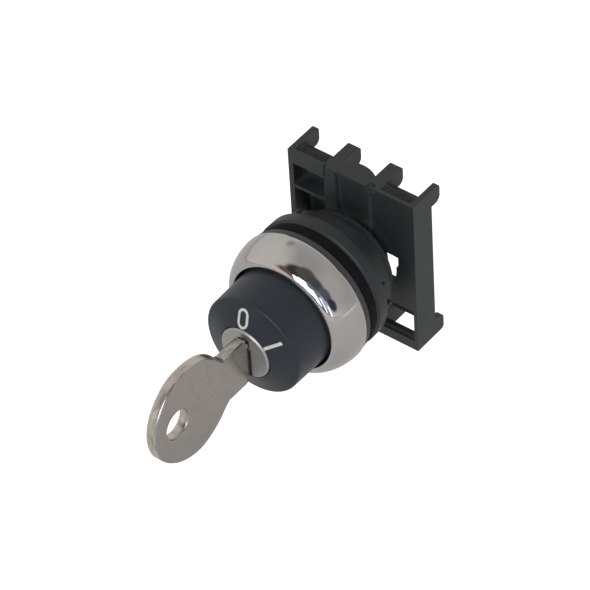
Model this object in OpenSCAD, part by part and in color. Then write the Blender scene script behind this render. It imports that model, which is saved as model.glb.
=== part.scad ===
// Key-operated two-position selector for a 22 mm panel hole, with a three-bay contact adapter.
// Frame: +Z up, the key faces -Y, +X to the right seen from the front.
// Origin: on the switch axis, in the plane where the gasket meets the panel.
// Most parts are turned about the switch axis, so their profiles are [radius, forward] points,
// where forward is the distance in front of the panel plane and is negative behind it.

/* [Front ring and cap] */
// Outside diameter of the chromed front ring
bezel_d = 29.5; // [28.8:0.1:30.5]
// How far the front ring's lip stands in front of the panel plane
bezel_reach = 11.05; // [10:0.05:12]
// Diameter of the black cap where it enters the front ring
cap_d = 22.1; // [21.6:0.1:22.4]
// Diameter of the black cap at its front edge
cap_front_d = 21.5; // [21:0.1:21.8]
// Distance from the panel plane to the cap's front edge
cap_reach = 19.95; // [18:0.05:21]
// Rise of the cap's sloping face from its front edge to the lock
cap_dome = 1.9; // [1.2:0.1:2.4]

/* [Lock and key] */
// Diameter of the lock's visible face
lock_d = 11.1; // [10.6:0.1:11.4]
// Diameter of the turning barrel behind the face
barrel_d = 9.8; // [9.6:0.1:9.8]
// Angle between the two key positions
turn_angle = 60; // [45:5:60]
// Thickness of the key
key_thick = 2.3; // [2:0.1:2.4]
// Diameter of the key's round bow
key_bow_d = 22.3; // [21:0.1:23]
// Distance from the lock's face to the centre of the bow
key_bow_out = 16.5; // [16:0.1:17.5]
// Diameter of the key ring hole
key_hole_d = 6.2; // [4:0.1:7]
// How far the printed cap is fitted anticlockwise of the key's rest position
legend_turn = 5.5; // [-10:0.5:10]

/* [Body behind the front ring] */
// Diameter of the body's front flange
flange_d = 29; // [28:0.1:29.4]
// Thickness of the rubber panel gasket
gasket_thick = 2.5; // [1.5:0.1:3]
// Diameter of the threaded sleeve that goes through the panel
sleeve_d = 21.4; // [21:0.1:21.6]
// Length of the sleeve behind the panel plane
sleeve_length = 9.9; // [9.9:0.1:10.4]
// Diameter of the ring nut
nut_d = 28.8; // [27:0.1:30]
// Pushing stroke of the two plungers over the full turn
plunger_stroke = 3.5; // [2.5:0.1:3.5]

/* [Contact adapter] */
// Width of the three-bay adapter
adapter_w = 29.3; // [29:0.1:30]
// Height of the adapter
adapter_h = 37.14; // [36:0.02:40]
// Distance from the panel plane to the adapter's front face
adapter_gap = 11.4; // [11.3:0.1:12]
// Depth of the adapter's frame
adapter_depth = 5.7; // [5.5:0.1:6.5]
// Length of the hooks that stand behind the frame
hook_length = 2.6; // [2:0.1:4]

/* [Hidden] */
$fn = 96;

cut = 0.5;            // how far a cutting shape runs past the face it cuts
slip = 0.05;          // radial clearance of a turning or sliding fit
seat_gap = 0.1;       // clearance between parts that lie behind each other

// places along the axis, measured forward from the panel plane
flange_front = gasket_thick + 1.47;
cap_back = flange_front + 0.3;
cap_top = cap_reach + cap_dome;
lock_face = cap_top + 0.4;
head_thick = 1.85;
head_back = lock_face - head_thick;
shell_front = head_back - seat_gap;
shell_back = -0.55;
barrel_back = -0.3;
tail_back = -1.75;
cam_front = -1.85;
cam_back = -3.4;
washer_back = -3.9;
nose_tip = cam_back - slip;
plunger_head_front = -5;
plunger_head_back = -6.2;
plunger_tip = -13.9;
guide_front = -8.5;
spring_seat = -11.9;

// radii
bezel_r = bezel_d / 2;
lip_r = cap_d / 2 + 0.32;
cap_r = cap_d / 2;
cap_front_r = cap_front_d / 2;
cap_bore_r = 7.1;
spigot_r = 9.2;
body_bore_r = 9.3;
sleeve_r = sleeve_d / 2;
thread_depth = 0.45;
thread_pitch = 1.5;
head_r = lock_d / 2;
barrel_r = barrel_d / 2;
shell_r = cap_bore_r - slip;
cam_r = 6.8;
plunger_x = 4.2;
rod_r = 1.4;
nose_r = 0.9;
head_of_plunger_r = 2.1;
neck_r = 7;

// key and keyway
blade_top = 3.2;
blade_bottom = -3.4;
foot_bottom = -4.8;
shank_bottom = -6.55;
shank_top = 4.45;
key_tip = 2.2;
key_shoulder = lock_face + 0.6;
bow_s = lock_face + key_bow_out;
bow_r = key_bow_d / 2;
bow_z = -0.5;
bow_top = 10.15;
shoulder_r = 8.2;
shoulder_s = bow_s - 0.55;
shoulder_z = 1.95;
hole_s = lock_face + 21.1;
hole_z = -0.5;
keyway_play = 0.15;
groove_depth = 0.55;
groove_high = [0.75, 1.95];
groove_low = [-1.95, -0.75];

// wafers
wafer_count = 5;
wafer_thick = 1;
wafer_pitch = 2.9;
wafer_first = 17;
wafer_r = barrel_r - 0.05;
wafer_half_w = 2.1;
wafer_lug_x = 3.3;
wafer_lug_z = [0.9, 1.9];
wafer_pocket_bottom = -2.3;
cut_depths = [0.5, 1.1, 0.3, 0.8, 0.4];

// detent ball
detent_r = 1;
detent_reach = 5.5;
detent_angle = 20;
detent_x = -detent_reach * sin(detent_angle);
detent_z = detent_reach * cos(detent_angle);

// printed marks
legend_lean = 3.5;

// adapter
wall = 1.15;
plate_thick = 1.7;
half_w = adapter_w / 2;
half_h = adapter_h / 2;
divider = [3.6, 6.2];
hook_height = 3.95;
hook_tip_height = 2.6;
rear_wall_thick = 1.3;
rear_wall_top = half_h - 2.9;
band_height = 3.1;
frame_front = adapter_gap;
frame_back = adapter_gap + adapter_depth;
bayonet_hole_r = neck_r + 0.1;
bayonet_slot_r = 9.75;
bayonet_slot_z = 3.25;
roof_depth = 4.4;
roof_r = 6;
ledge_depth = 2.7;
slit = [5.9, 6.25];
rib_z = [9.5, 10.15];

// Turns the drawing plane to face the front: local x right, local y up, local z forward.
module facing_front() {
  rotate([90, 0, 0]) children();
}

// A solid of revolution about the switch axis from [radius, forward] points.
module turned(points) {
  facing_front() rotate_extrude() polygon(points);
}

// A tube about the switch axis between two forward places.
module tube(outer_r, inner_r, back, front) {
  turned([[inner_r, back], [outer_r, back], [outer_r, front], [inner_r, front]]);
}

// A rod parallel to the switch axis.
module rod(r, back, front, x = 0, z = 0) {
  facing_front() translate([x, z, back]) cylinder(r = r, h = front - back);
}

// A box given by its x, forward and z ranges.
module block(x, s, z) {
  translate([x[0], -s[1], z[0]]) cube([x[1] - x[0], s[1] - s[0], z[1] - z[0]]);
}

// A ring of round section about the switch axis.
module seal_ring(mean_r, wire_r, s) {
  facing_front() translate([0, 0, s]) rotate_extrude() translate([mean_r, 0]) circle(wire_r, $fn = 32);
}

// A coil spring that stands on z = 0, made of rings of points swept along a helix.
function coil_points(mean_r, wire_r, length, turns, steps, sides) = [
  for (i = [0:steps * turns], j = [0:sides - 1])
    let (turn = 360 * i / steps, side = 360 * j / sides, r = mean_r + wire_r * cos(side))
      [r * cos(turn), r * sin(turn),
       wire_r + (length - 2 * wire_r) * i / (steps * turns) + wire_r * sin(side)]
];

function coil_faces(rings, sides) = concat(
  [[for (j = [0:sides - 1]) j]],
  [for (i = [0:rings - 2], j = [0:sides - 1])
    let (next = (j + 1) % sides)
      [i * sides + j, (i + 1) * sides + j, (i + 1) * sides + next, i * sides + next]],
  [[for (j = [0:sides - 1]) rings * sides - 1 - j]]
);

module coil(mean_r, wire_r, length, turns) {
  steps = 12;
  sides = 6;
  polyhedron(coil_points(mean_r, wire_r, length, turns, steps, sides),
    coil_faces(steps * turns + 1, sides));
}

// Outline of the key blade's section, used with play for the keyway.
module blade_section(play) {
  half = key_thick / 2;
  difference() {
    translate([-half - play, blade_bottom - play / 2])
      square([key_thick + 2 * play, blade_top - blade_bottom + play]);
    translate([half - groove_depth + play, groove_high[0] + play / 2])
      square([groove_depth + cut, groove_high[1] - groove_high[0] - play]);
    translate([-half - cut - play, groove_low[0] + play / 2])
      square([groove_depth + cut, groove_low[1] - groove_low[0] - play]);
  }
}

// Nickel-plated flat key: round bow with a ring hole, shank, foot and grooved blade.
module key() {
  half = key_thick / 2;
  edge = 0.3;
  color([0.62, 0.59, 0.56]) difference() {
    union() {
      intersection() {
        translate([0, -bow_s, bow_z]) rotate([0, 90, 0]) rotate_extrude() polygon([
          [0, -half], [bow_r - edge, -half], [bow_r, edge - half],
          [bow_r, half - edge], [bow_r - edge, half], [0, half]]);
        // the bow's top is flat, and it falls to the shank in a tighter curve
        union() {
          block([-2, 2], [shoulder_s, bow_s + bow_r + cut], [-2 * bow_r, bow_top]);
          block([-2, 2], [bow_s - bow_r - cut, bow_s], [-2 * bow_r, shoulder_z]);
          translate([0, -shoulder_s, shoulder_z]) rotate([0, 90, 0])
            cylinder(r = shoulder_r, h = 2 * key_thick, center = true);
        }
      }
      block([-half, half], [key_shoulder, bow_s - 8], [shank_bottom, shank_top]);
      block([-half, half], [head_back + 0.3, key_shoulder + cut], [foot_bottom, blade_top]);
      facing_front() translate([0, 0, key_tip]) linear_extrude(head_back + 0.8 - key_tip) blade_section(0);
    }
    translate([0, -hole_s, hole_z]) rotate([0, 90, 0])
      cylinder(r = key_hole_d / 2, h = key_thick + 2 * cut, center = true);
    // milled grooves run out into the foot
    block([half - groove_depth, half + cut], [head_back, key_shoulder + 5.5], groove_high);
    block([-half - cut, groove_depth - half], [head_back, key_shoulder + 5.5], groove_low);
    // pointed tip
    for (side = [-1, 1]) translate([0, -key_tip, side * 4.2]) rotate([45, 0, 0])
      cube([key_thick + cut, 3.2, 3.2], center = true);
    // coded cuts, one for each wafer
    for (i = [0:wafer_count - 1]) {
      side = cut_depths[i] * sqrt(2);
      translate([0, -(wafer_first - i * wafer_pitch), blade_top]) rotate([45, 0, 0])
        cube([key_thick + cut, side, side], center = true);
    }
  }
}

// Turning plug of the lock: face disc, slotted barrel, clip groove and square tail.
module lock_plug() {
  bevel = 0.3;
  color([0.6, 0.58, 0.55]) difference() {
    union() {
      turned([[0, tail_back], [3.2, tail_back], [3.2, -1.45], [2.55, -1.45], [2.55, -0.6], [3.2, -0.6],
        [3.2, barrel_back], [barrel_r, barrel_back], [barrel_r, 18.9], [4.15, 18.9], [4.15, 19.9],
        [barrel_r, 19.9], [barrel_r, head_back], [head_r, head_back], [head_r, lock_face - bevel],
        [head_r - bevel, lock_face], [0, lock_face]]);
      block([-2.2, 2.2], [-3.3, tail_back + 0.2], [-2.2, 2.2]);
    }
    facing_front() translate([0, 0, 1.5]) linear_extrude(lock_face) blade_section(keyway_play);
    block([-key_thick / 2 - keyway_play, key_thick / 2 + keyway_play], [head_back - 0.2, lock_face + cut],
      [foot_bottom - 0.15, 0]);
    for (i = [0:wafer_count - 1]) {
      s = wafer_first - i * wafer_pitch;
      block([-wafer_half_w - slip, wafer_half_w + slip],
        [s - wafer_thick / 2 - slip, s + wafer_thick / 2 + slip], [-barrel_r - cut, barrel_r + cut]);
      block([0, wafer_lug_x + slip], [s - wafer_thick / 2 - slip, s + wafer_thick / 2 + slip],
        [wafer_pocket_bottom, wafer_lug_z[1] + 0.3]);
    }
    rod(1.25, -3.3 - cut, 0.6);
  }
}

// Brass wafer tumbler with a window for the blade and a lug for its spring.
module wafer(index) {
  s = wafer_first - (index - 1) * wafer_pitch;
  color([0.72, 0.58, 0.32]) difference() {
    union() {
      intersection() {
        rod(wafer_r, s - wafer_thick / 2, s + wafer_thick / 2);
        block([-wafer_half_w, wafer_half_w], [s - 1, s + 1], [-wafer_r, wafer_r]);
      }
      block([wafer_half_w - cut, wafer_lug_x], [s - wafer_thick / 2, s + wafer_thick / 2], wafer_lug_z);
    }
    block([-key_thick / 2 - 0.1, key_thick / 2 + 0.1], [s - 1, s + 1], [blade_bottom - 0.1, blade_top + 0.1]);
  }
}

// Small spring that pushes a wafer's lug outwards.
module wafer_spring(index) {
  s = wafer_first - (index - 1) * wafer_pitch;
  color([0.75, 0.75, 0.75]) translate([2.75, -s, wafer_pocket_bottom + 0.03])
    coil(0.32, 0.1, wafer_lug_z[0] - wafer_pocket_bottom - 0.06, 5);
}

module plug_seal() {
  color([0.08, 0.08, 0.08]) seal_ring(4.55, 0.38, 19.4);
}

// Open spring clip in the plug's groove, which keeps the plug in its shell.
module plug_clip() {
  color([0.55, 0.56, 0.58]) difference() {
    tube(4.6, 2.65, -1.35, -0.68);
    block([-2.2, 2.2], [-2, 0], [-5, 0]);
  }
}

// Fixed shell of the lock, with the two broached slots that locked wafers drop into.
module lock_shell() {
  color([0.66, 0.64, 0.6]) difference() {
    union() {
      tube(shell_r, barrel_r + slip, shell_back, shell_front);
      block([-0.8, 0.8], [1, 18], [-7.8, 0.2 - shell_r]);
    }
    for (side = [-1, 1]) block([-2.3, 2.3], [0.6, 18.4], [side * 5.3 - 0.6, side * 5.3 + 0.6]);
  }
}

// Black front cap: tapered grip, rounded edge, sloping face and a spigot into the body.
module front_cap() {
  edge = 0.75;
  arc_centre = [cap_front_r - edge, cap_reach - edge];
  color([0.15, 0.17, 0.19]) difference() {
    turned(concat(
      [[cap_bore_r, -0.5], [spigot_r, -0.5], [spigot_r, 0.9], [8.35, 0.9], [8.35, 2.2], [spigot_r, 2.2],
       [spigot_r, cap_back], [cap_r, cap_back], [cap_front_r, cap_reach - edge]],
      [for (a = [15:15:60]) arc_centre + edge * [cos(a), sin(a)]],
      [[head_r + 0.12, cap_top], [head_r + 0.12, shell_front + slip], [cap_bore_r, shell_front + slip]]));
    block([-0.85, 0.85], [-0.5 - cut, 18.05], [-7.85, -6]);
  }
}

// The sloping layer in which the printed marks lie, a little proud of the cap's face.
module face_layer() {
  proud = 0.06;
  edge_s = cap_reach - 0.1;
  slope = (cap_top - edge_s) / (cap_front_r - 0.38 - head_r - 0.12);
  inner = head_r + 0.12;
  outer = 10.2;
  low = cap_top - slope * (outer - inner);
  turned([[inner, cap_top], [outer, low], [outer, low + proud], [inner, cap_top + proud]]);
}

// A straight stroke with round ends, drawn upwards from the origin.
module stadium(width, height) {
  translate([-width / 2, width / 2 - height / 2]) square([width, height - width]);
  for (side = [-1, 1]) translate([0, side * (height - width) / 2]) circle(d = width, $fn = 48);
}

// White "0" above the lock.
module legend_zero() {
  color([0.9, 0.89, 0.85]) intersection() {
    face_layer();
    facing_front() rotate(legend_turn) translate([0, 7.6, 15]) rotate(legend_lean)
      linear_extrude(10) difference() {
        stadium(2.3, 3.7);
        stadium(1.24, 2.75);
      }
  }
}

// White "I" at the turned position.
module legend_one() {
  color([0.9, 0.89, 0.85]) intersection() {
    face_layer();
    facing_front() rotate(legend_turn - turn_angle) translate([0, 7.45, 15]) rotate(-legend_lean)
      translate([-0.34, -1.82, 0]) cube([0.68, 3.64, 10]);
  }
}

module cap_seal() {
  color([0.08, 0.08, 0.08]) seal_ring(8.83, 0.44, 1.55);
}

// Domed, chromed front ring. Its outside follows a superellipse from the flange to the lip.
module bezel_ring() {
  power = 1.83;
  start = flange_front + 0.6;
  crest_r = lip_r + 0.35;
  color([0.78, 0.76, 0.74]) turned(concat(
    [[lip_r, flange_front], [bezel_r - 0.1, flange_front]],
    [for (i = [0:14])
      let (a = 90 * i / 14)
        [crest_r + (bezel_r - crest_r) * pow(cos(a), 2 / power),
         start + (bezel_reach - start) * pow(sin(a), 2 / power)]],
    [[lip_r, bezel_reach - 0.25]]));
}

// Body: front flange and threaded sleeve with a lug that stops it turning in the panel.
module actuator_body() {
  threads = floor((sleeve_length - 1.2) / thread_pitch);
  color([0.13, 0.13, 0.14]) difference() {
    union() {
      turned([[body_bore_r, -sleeve_length], [sleeve_r - 0.4, -sleeve_length],
        [sleeve_r, 0.4 - sleeve_length], [sleeve_r, gasket_thick], [flange_d / 2 - 0.2, gasket_thick],
        [flange_d / 2, gasket_thick + 0.2], [flange_d / 2, flange_front], [body_bore_r, flange_front]]);
      block([-1.55, 1.55], [0, gasket_thick + 0.1], [sleeve_r - 0.5, 12.1]);
    }
    for (i = [0:threads - 1]) turned([[sleeve_r - thread_depth, -1 - i * thread_pitch],
      [sleeve_r + 0.1, -1.5 - i * thread_pitch], [sleeve_r + 0.1, -0.5 - i * thread_pitch]]);
  }
}

// Rubber gasket between the flange and the panel, notched for the body's lug.
module panel_gasket() {
  color([0.05, 0.05, 0.05]) difference() {
    turned([[sleeve_r + 0.08, 0], [14.1, 0], [14.3, 0.25], [14.3, gasket_thick],
      [sleeve_r + 0.08, gasket_thick]]);
    block([-1.65, 1.65], [-cut, gasket_thick + cut], [sleeve_r - 1, 12.2]);
  }
}

// Ring nut: a flange against the gasket, a lug and three ribs behind it, and a threaded hub.
module ring_nut() {
  nut_r = nut_d / 2;
  color([0.2, 0.2, 0.21]) {
    turned([[sleeve_r + 0.08, -6.8], [12.3, -6.8], [12.5, -6.6], [12.5, -3], [nut_r - 0.2, -3],
      [nut_r - 0.05, -2.85], [nut_r, -0.6], [nut_r - 0.25, -0.35], [nut_r - 0.25, 0], [sleeve_r + 0.08, 0]]);
    facing_front() rotate(-77) translate([-1.7, nut_r - 1.1, -3.9]) cube([3.4, 1, 1]);
    for (a = [29.5, 149.5, 269.5]) facing_front() rotate(a)
      translate([-0.3, nut_r - 1.1, -4.5]) cube([0.6, 1, 1.6]);
  }
}

// Height of the cam's ramp above its disc, at an angle counted from the ramp's foot.
function ramp_height(angle) = plunger_stroke * min(1, max(0, angle / turn_angle));

function ramp_points(inner, outer, first, span, steps) = [
  for (i = [0:steps])
    let (along = span * i / steps, a = first + along, h = max(0.02, ramp_height(along)))
      each [[inner * cos(a), inner * sin(a), 0.3], [outer * cos(a), outer * sin(a), 0.3],
            [outer * cos(a), outer * sin(a), -h], [inner * cos(a), inner * sin(a), -h]]
];

function ramp_faces(steps) = concat(
  [[0, 1, 2, 3]],
  [for (i = [0:steps - 1], j = [0:3])
    [i * 4 + j, (i + 1) * 4 + j, (i + 1) * 4 + (j + 1) % 4, i * 4 + (j + 1) % 4]],
  [[steps * 4 + 3, steps * 4 + 2, steps * 4 + 1, steps * 4]]
);

// Face cam on the plug's square tail. Its two ramps push the plungers back as the key turns.
module drive_cam() {
  foot = asin(nose_r / plunger_x) + 0.6;
  span = turn_angle + 8;
  steps = 34;
  color([0.82, 0.8, 0.74]) difference() {
    union() {
      tube(cam_r, 0, cam_back, cam_front);
      for (side = [0, 180]) facing_front() translate([0, 0, cam_back]) rotate(side)
        polyhedron(ramp_points(3, 5.4, foot, span, steps), ramp_faces(steps));
    }
    block([-2.25, 2.25], [cam_back - cut, cam_front + cut], [-2.25, 2.25]);
    // dimples for the detent ball, one for each key position
    for (a = [0, turn_angle]) facing_front() rotate(a + detent_angle)
      translate([0, detent_reach, cam_back - 0.8]) sphere(r = 1.1, $fn = 32);
  }
}

module cam_washer() {
  color([0.7, 0.7, 0.7]) tube(2.9, 1.3, washer_back, cam_back);
}

// Cross-head screw that holds the cam on the plug.
module cam_screw() {
  color([0.65, 0.65, 0.65]) difference() {
    turned([[0, washer_back - 1.2], [1.5, washer_back - 1.2], [1.85, washer_back - 0.8],
      [1.85, washer_back], [1.2, washer_back], [1.2, 0.2], [0, 0.2]]);
    for (a = [0, 90]) rotate([0, a, 0])
      block([-0.9, 0.9], [washer_back - 2, washer_back - 0.6], [-0.18, 0.18]);
  }
}

// Plunger that works a contact block: nose on the cam, head for the spring, rod to the rear.
module plunger(x) {
  color([0.8, 0.25, 0.2]) translate([x, 0, 0]) turned([[0, plunger_tip], [rod_r - 0.3, plunger_tip],
    [rod_r, plunger_tip + 0.3], [rod_r, plunger_head_back], [head_of_plunger_r, plunger_head_back],
    [head_of_plunger_r, plunger_head_front], [nose_r, plunger_head_front], [nose_r, nose_tip], [0, nose_tip]]);
}

module plunger_spring(x) {
  color([0.75, 0.75, 0.75]) facing_front() translate([x, 0, spring_seat + 0.02])
    coil(1.83, 0.18, plunger_head_back - spring_seat - 0.04, 4);
}

module detent_ball() {
  color([0.8, 0.8, 0.8]) facing_front() translate([detent_x, detent_z, cam_back - detent_r - slip])
    sphere(r = detent_r, $fn = 48);
}

module detent_spring() {
  back = -10.15;
  color([0.75, 0.75, 0.75]) facing_front() translate([detent_x, detent_z, back])
    coil(0.72, 0.14, cam_back - 2 * detent_r - slip - back - 0.02, 6);
}

// Guide that closes the body: plunger bores, detent tower, neck and bayonet bar for the adapter.
module rear_guide() {
  color([0.1, 0.1, 0.11]) difference() {
    union() {
      tube(body_bore_r - slip, 0, -sleeve_length, guide_front);
      tube(neck_r, 0, -frame_front - plate_thick - 0.08, -sleeve_length + cut);
      intersection() {
        block([-2.6, 2.6], [-frame_front - plate_thick - 1.8, -frame_front - plate_thick - 0.08],
          [-9.6, 9.6]);
        rod(9.6, -20, 0);
      }
      rod(1.9, guide_front - cut, -4.9, detent_x, detent_z);
    }
    for (side = [-1, 1]) {
      rod(rod_r + slip, -20, guide_front + cut, side * plunger_x);
      rod(2.3, spring_seat, guide_front + cut, side * plunger_x);
    }
    rod(1.06, -10.2, -4.9 + cut, detent_x, detent_z);
  }
}

// One hook: a flat tongue behind the frame with a rounded lower corner, drawn for the top edge.
module hook(x) {
  tip = frame_back + hook_length;
  r = hook_height - hook_tip_height;
  difference() {
    block(x, [-tip, -frame_back + cut], [half_h - hook_height, half_h]);
    translate([x[0] - cut, tip - r, half_h - hook_height]) difference() {
      translate([0, 0, -cut]) cube([x[1] - x[0] + 2 * cut, r + cut, r + cut]);
      translate([0, 0, r]) rotate([0, 90, 0]) cylinder(r = r, h = x[1] - x[0] + 2 * cut, $fn = 32);
    }
    translate([x[0] - cut, tip, half_h]) rotate([45, 0, 0]) cube([x[1] - x[0] + 2 * cut, 0.7, 0.7]);
  }
}

// Moulded three-bay frame that clips behind the body and carries the contact blocks.
module adapter_frame() {
  back_of_plate = frame_front + plate_thick;
  side_x = [half_w - wall, half_w];
  bay = [divider[1], half_w - wall];
  color([0.17, 0.17, 0.18]) difference() {
    union() {
      block([-half_w, half_w], [-back_of_plate, -frame_front], [-half_h, half_h]);
      for (side = [-1, 1]) {
        // outer wall and its hooks
        block(side > 0 ? side_x : [-half_w, wall - half_w], [-frame_back, -frame_front], [-half_h, half_h]);
        for (up = [0, 1]) mirror([0, 0, up]) {
          hook(side > 0 ? side_x : [-half_w, wall - half_w]);
          hook(side > 0 ? divider : [-divider[1], -divider[0]]);
          block(side > 0 ? divider : [-divider[1], -divider[0]], [-frame_back, -frame_front], [10.6, half_h]);
        }
        // rear walls that the contact blocks clip on
        block(side > 0 ? [divider[0], half_w - cut] : [cut - half_w, -divider[0]],
          [-frame_back, rear_wall_thick - frame_back], [10.6, rear_wall_top]);
        block(side > 0 ? [bay[0], half_w - cut] : [cut - half_w, -bay[0]],
          [-frame_back, rear_wall_thick - frame_back], [-1, 11]);
        block(side > 0 ? [divider[0], half_w - cut] : [cut - half_w, -divider[0]],
          [-frame_back, rear_wall_thick - frame_back], [-14.9, -11.5]);
      }
      // roof of the middle bay, with a rounded rear edge
      intersection() {
        block([-divider[0] - cut, divider[0] + cut], [-frame_front - roof_depth, -frame_front],
          [half_h - 1, half_h]);
        translate([0, frame_front + roof_depth - roof_r, half_h - 2]) cylinder(r = roof_r, h = 3);
      }
      // finger ledges on top of the side bays
      for (side = [-1, 1]) block(side > 0 ? [divider[0], half_w - cut] : [cut - half_w, -divider[0]],
        [-frame_front - ledge_depth, -frame_front], [half_h - 1, half_h]);
      // shelf across the left bay
      block([cut - half_w, -divider[0]], [cut - frame_back, -frame_front], rib_z);
    }
    // left bay, open to the front between its top band and its rib
    for (z = [[rib_z[1], half_h - band_height], [0.5, rib_z[0]]])
      block([wall - half_w, -slit[1]], [-back_of_plate - cut, -frame_front + cut], z);
    // slit beside the top band
    block([-slit[1], -slit[0]], [-frame_front - 0.9, -frame_front + cut],
      [half_h - band_height - 0.6, half_h + cut]);
    // right bay, shallow recess behind the front edges
    block([divider[1] - 2, half_w - 0.8], [-frame_front - 0.5, -frame_front + cut],
      [-half_h + 2.3, half_h - 0.35]);
    // windows at the bottom of the side bays
    for (side = [-1, 1]) block(side > 0 ? [bay[0], half_w - wall] : [wall - half_w, -bay[0]],
      [-back_of_plate - cut, -frame_front + cut], [-half_h + 3, -9.2]);
    // middle bay, set back below the roof
    block([-3.5, 3.5], [-frame_front - 1, -frame_front + cut], [8.6, half_h - 0.5]);
    block([3.5, 5.4], [-frame_front - 1.3, -frame_front + cut], [half_h - 1.5, half_h + cut]);
    // bayonet hole, its two entry slots and the key notch at the end of each
    rod(bayonet_hole_r, -back_of_plate - cut, -frame_front + cut);
    intersection() {
      rod(bayonet_slot_r, -back_of_plate - cut, -frame_front + cut);
      block([-11, 11], [-back_of_plate - 1, -frame_front + 1], [-bayonet_slot_z, bayonet_slot_z]);
    }
    for (turn = [0, 180]) rotate([0, turn, 0])
      block([bayonet_slot_r - 1, bayonet_slot_r + 0.5], [-back_of_plate - cut, -frame_front + cut],
        [0.5, 3.2]);
  }
}

key();
lock_plug();
wafer(1);  // wafer_1
wafer(2);  // wafer_2
wafer(3);  // wafer_3
wafer(4);  // wafer_4
wafer(5);  // wafer_5
wafer_spring(1);  // wafer_spring_1
wafer_spring(2);  // wafer_spring_2
wafer_spring(3);  // wafer_spring_3
wafer_spring(4);  // wafer_spring_4
wafer_spring(5);  // wafer_spring_5
plug_seal();
plug_clip();
lock_shell();
front_cap();
legend_zero();
legend_one();
cap_seal();
bezel_ring();
actuator_body();
panel_gasket();
ring_nut();
drive_cam();
cam_washer();
cam_screw();
plunger(-plunger_x);  // plunger_left
plunger(plunger_x);  // plunger_right
plunger_spring(-plunger_x);  // plunger_spring_left
plunger_spring(plunger_x);  // plunger_spring_right
detent_ball();
detent_spring();
rear_guide();
adapter_frame();
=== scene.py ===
import math

import bmesh
import bpy
from mathutils import Matrix, Vector
from mathutils.geometry import tessellate_polygon


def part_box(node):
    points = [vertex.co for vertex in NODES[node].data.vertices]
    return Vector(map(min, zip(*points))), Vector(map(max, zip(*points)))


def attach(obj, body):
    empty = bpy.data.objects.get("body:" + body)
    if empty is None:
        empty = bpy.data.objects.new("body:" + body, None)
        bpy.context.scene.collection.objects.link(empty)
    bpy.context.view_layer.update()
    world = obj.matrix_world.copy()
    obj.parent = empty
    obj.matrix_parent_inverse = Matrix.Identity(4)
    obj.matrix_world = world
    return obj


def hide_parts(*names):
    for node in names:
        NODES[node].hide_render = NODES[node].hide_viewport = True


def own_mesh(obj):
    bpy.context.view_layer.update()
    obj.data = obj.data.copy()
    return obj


# Looks of a key-operated selector. Lengths are in millimetres and are scaled to metres when a mesh is made.
# "Forward" is the distance in front of the panel plane, along -Y, as in the CAD part.

MM = 0.001
SHARP, SHARP_TURNED = 32, 30  # degrees from which an edge is shaded crisp, usually and on turned pieces
WELD, CAD_WELD = 1e-6, 2e-6  # metres within which points become one
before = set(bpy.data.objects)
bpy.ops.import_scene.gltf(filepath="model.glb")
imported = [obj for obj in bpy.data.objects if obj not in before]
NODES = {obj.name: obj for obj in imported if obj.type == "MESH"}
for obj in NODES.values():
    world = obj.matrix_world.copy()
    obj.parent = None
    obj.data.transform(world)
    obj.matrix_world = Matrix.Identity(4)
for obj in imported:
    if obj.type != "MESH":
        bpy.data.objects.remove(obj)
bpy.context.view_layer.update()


class Extent:
    """A CAD node's box in millimetres, with its depth given as forward places."""

    def __init__(self, node):
        low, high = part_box(node)
        self.right, self.top = high.x / MM, high.z / MM
        self.back, self.front = -high.y / MM, -low.y / MM
        self.radius = min(self.right, -low.x / MM)


# ---------------------------------------------------------------- mesh helpers

def point(radius, forward, turn):
    """A place on a circle about the switch axis; turn 0 is at the top and grows clockwise from the front."""
    return Vector((radius * math.sin(turn), -forward, radius * math.cos(turn)))


def arc(centre, radius, start, end, steps):
    """Points on an arc of a flat outline, with angles in degrees."""
    angles = [math.radians(start + (end - start) * i / steps) for i in range(steps + 1)]
    return [(centre[0] + radius * math.cos(a), centre[1] + radius * math.sin(a)) for a in angles]


def rounded(corners, steps=5):
    """A closed outline with filleted corners, from (u, v, fillet radius) corners."""
    most_of_side = 0.48
    outline = []
    count = len(corners)
    for i, (u, v, radius) in enumerate(corners):
        here = Vector((u, v))
        before = Vector(corners[i - 1][:2]) - here
        after = Vector(corners[(i + 1) % count][:2]) - here
        if radius <= 0:
            outline.append((u, v))
            continue
        half = before.angle(after) / 2
        reach = min(radius / math.tan(half), before.length * most_of_side, after.length * most_of_side)
        start, end = here + before.normalized() * reach, here + after.normalized() * reach
        for k in range(steps + 1):
            t = k / steps
            outline.append(tuple(start * (1 - t) ** 2 + here * 2 * t * (1 - t) + end * t ** 2))
    return outline


def finished(mesh, sharp_angle):
    """Smooths a mesh's shading except across edges sharper than an angle in degrees."""
    mesh.polygons.foreach_set("use_smooth", [True] * len(mesh.polygons))
    mesh.set_sharp_from_angle(angle=math.radians(sharp_angle))
    return mesh


def to_object(name, bm, sharp_angle=SHARP):
    """A linked object from a bmesh in millimetres."""
    bmesh.ops.recalc_face_normals(bm, faces=bm.faces)
    bm.transform(Matrix.Scale(MM, 4))
    mesh = bpy.data.meshes.new(name)
    bm.to_mesh(mesh)
    bm.free()
    obj = bpy.data.objects.new(name, finished(mesh, sharp_angle))
    bpy.context.scene.collection.objects.link(obj)
    return obj


def skin(bm, rings):
    """Adds the faces between each closed ring of points and the next."""
    for ring, following in zip(rings, rings[1:]):
        for i in range(len(ring)):
            j = (i + 1) % len(ring)
            bm.faces.new((ring[i], ring[j], following[j], following[i]))


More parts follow.
